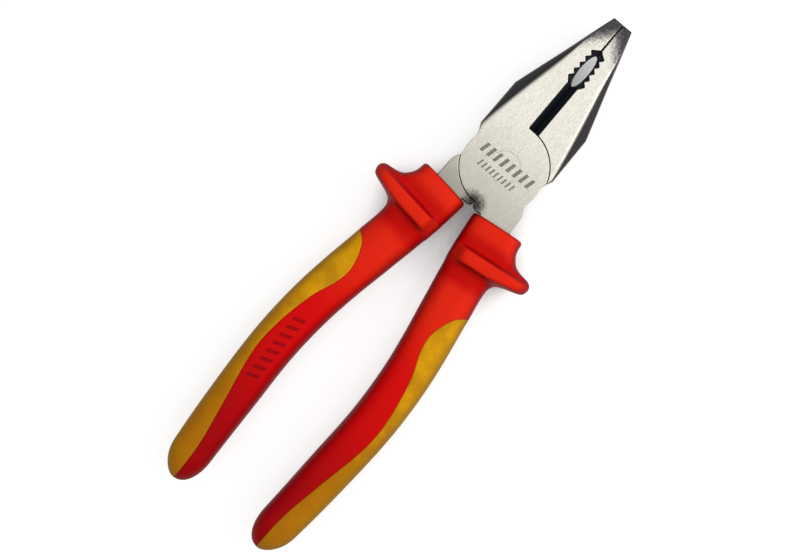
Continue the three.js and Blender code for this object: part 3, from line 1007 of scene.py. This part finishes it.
def yellow_rubber():
    """Soft matt inlay, with painted shade making it browner on its outer edge and towards the
    handle's end.
    """
    nodes = Nodes("grip_pad")
    grain = nodes.noise(5.0, 4.0, 0.6)
    clouds = nodes.step(0.3, 0.7, nodes.noise(0.14, 4.0, 0.6))
    facing = abs(nodes.facing[2])
    yellow = nodes.mix(clouds, YELLOW["clear"], YELLOW["cloud"])
    # Painted shade: darker towards the handle's end and on the steep outer side.
    yellow = nodes.mix(nodes.step(*YELLOW_SHADE_END_FADE, nodes.y) * 0.8, yellow, YELLOW["end"])
    yellow = nodes.mix(nodes.step(0.97, 0.3, facing) * 0.85, yellow, YELLOW["side"])
    yellow = nodes.mix(grain * 0.3, yellow, YELLOW["grain"])
    nodes.bump(grain, 0.35, 0.05)
    nodes.shader.inputs["Specular IOR Level"].default_value = GRIP_SPECULAR
    return nodes.set(Base_Color=yellow, Roughness=0.50 + grain * 0.12)


def sleeve_plastic():
    """Inner sleeve, which hardly shows."""
    nodes = Nodes("grip_core")
    grain = nodes.noise(3.0, 3.0)
    colour = nodes.mix(grain, SLEEVE["dark"], SLEEVE["light"])
    nodes.bump(grain, 0.3, 0.05)
    return nodes.set(Base_Color=colour, Roughness=0.5 + grain * 0.15)


def floor_paper():
    """Paper that glows a little, less so close under the tool, where the dimmed glow paints a contact
    shadow.
    """
    nodes = Nodes("floor")
    fibre = nodes.noise(0.6, 4.0, 0.6)
    colour = nodes.mix(fibre, PAPER["dark"], PAPER["light"])
    nodes.bump(fibre, 0.05, 0.1)
    open_air = nodes.add("ShaderNodeAmbientOcclusion", samples=8)
    open_air.inputs["Distance"].default_value = FLOOR_SHADE_REACH
    # Painted shadow: the glow is dimmed where the tool is close above.
    glow = nodes.step(*FLOOR_GLOW["open"], Value(nodes, open_air.outputs["AO"]))
    glow = glow * FLOOR_GLOW["rise"] + FLOOR_GLOW["least"]
    nodes.set(Base_Color=colour, Roughness=0.9)
    return nodes.set(Emission_Color=PAPER["glow"], Emission_Strength=glow)


# Assembly


def show(name, mesh, material, side, nodes):
    """A piece on the front or rear lever, in the place of CAD nodes."""
    piece = bpy.data.objects.new(name, mesh)
    bpy.context.scene.collection.objects.link(piece)
    mesh.materials.clear()
    mesh.materials.append(material)
    turn = Matrix.Rotation(math.pi, 4, "Y") if side == "rear" else Matrix.Identity(4)
    piece.matrix_world = Matrix.Translation(PIVOT) @ turn
    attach(piece, f"{side}_lever")
    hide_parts(*nodes)
    return piece


def build_levers():
    half = half_mesh()
    shell = shell_mesh()
    pad = pad_mesh()
    steel = ground_steel()
    red = red_plastic()
    yellow = yellow_rubber()
    sleeve = sleeve_plastic()
    for side in ("front", "rear"):
        show(f"{side}_steel", half.copy(), steel, side, [f"{side}_half"])
        show(f"{side}_outer_grip", shell.copy(), red, side, [f"{side}_grip_shell"])
        show(f"{side}_inlay", pad.copy(), yellow, side, [f"{side}_grip_pad"])
        core = frame["nodes"][f"{side}_grip_core"]
        core.data.materials.clear()
        core.data.materials.append(sleeve)
    show("rivet", rivet_mesh(), rivet_steel(), "front", ["pivot_rivet"])


def build_stage():
    half = FLOOR_SIZE / 2
    corners = [(-half, -half, 0.0), (half, -half, 0.0), (half, half, 0.0), (-half, half, 0.0)]
    mesh = bpy.data.meshes.new("floor")
    mesh.from_pydata(corners, [], [(0, 1, 2, 3)])
    floor = bpy.data.objects.new("floor", mesh)
    bpy.context.scene.collection.objects.link(floor)
    mesh.materials.append(floor_paper())


def area_light(name, place, target, size, watts, colour):
    data = bpy.data.lights.new(name, "AREA")
    data.size = size
    data.energy = watts
    data.color = colour
    lamp = bpy.data.objects.new(name, data)
    bpy.context.scene.collection.objects.link(lamp)
    lamp.location = place
    lamp.rotation_euler = (Vector(target) - Vector(place)).to_track_quat("-Z", "Y").to_euler()


def build_lights():
    world = bpy.data.worlds.new("studio")
    bpy.context.scene.world = world
    world.use_nodes = True
    background = world.node_tree.nodes["Background"].inputs
    background["Color"].default_value = (1.0, 1.0, 1.0, 1.0)
    background["Strength"].default_value = WORLD_STRENGTH
    area_light("overhead", (0.0, 0.2, 1.6), (0.0, 0.2, 0.0), 2.5, 17.0, (1.0, 0.99, 0.97))
    area_light("key", (0.95, 0.75, 0.8), (0.0, 0.0, 0.0), 0.7, 10.0, (1.0, 0.98, 0.95))


def build_camera():
    data = bpy.data.cameras.new("camera")
    data.sensor_width = SENSOR
    data.lens = SENSOR * VIEW_HEIGHT / VIEW_WIDTH
    camera = bpy.data.objects.new("camera", data)
    bpy.context.scene.collection.objects.link(camera)
    camera.location = (*VIEW_CENTRE, TOOL_PLANE + VIEW_HEIGHT)
    camera.rotation_euler = (0, 0, VIEW_TURN)
    bpy.context.scene.camera = camera


build_camera()
build_stage()
build_lights()
build_levers()
bpy.context.scene.view_settings.view_transform = "Standard"
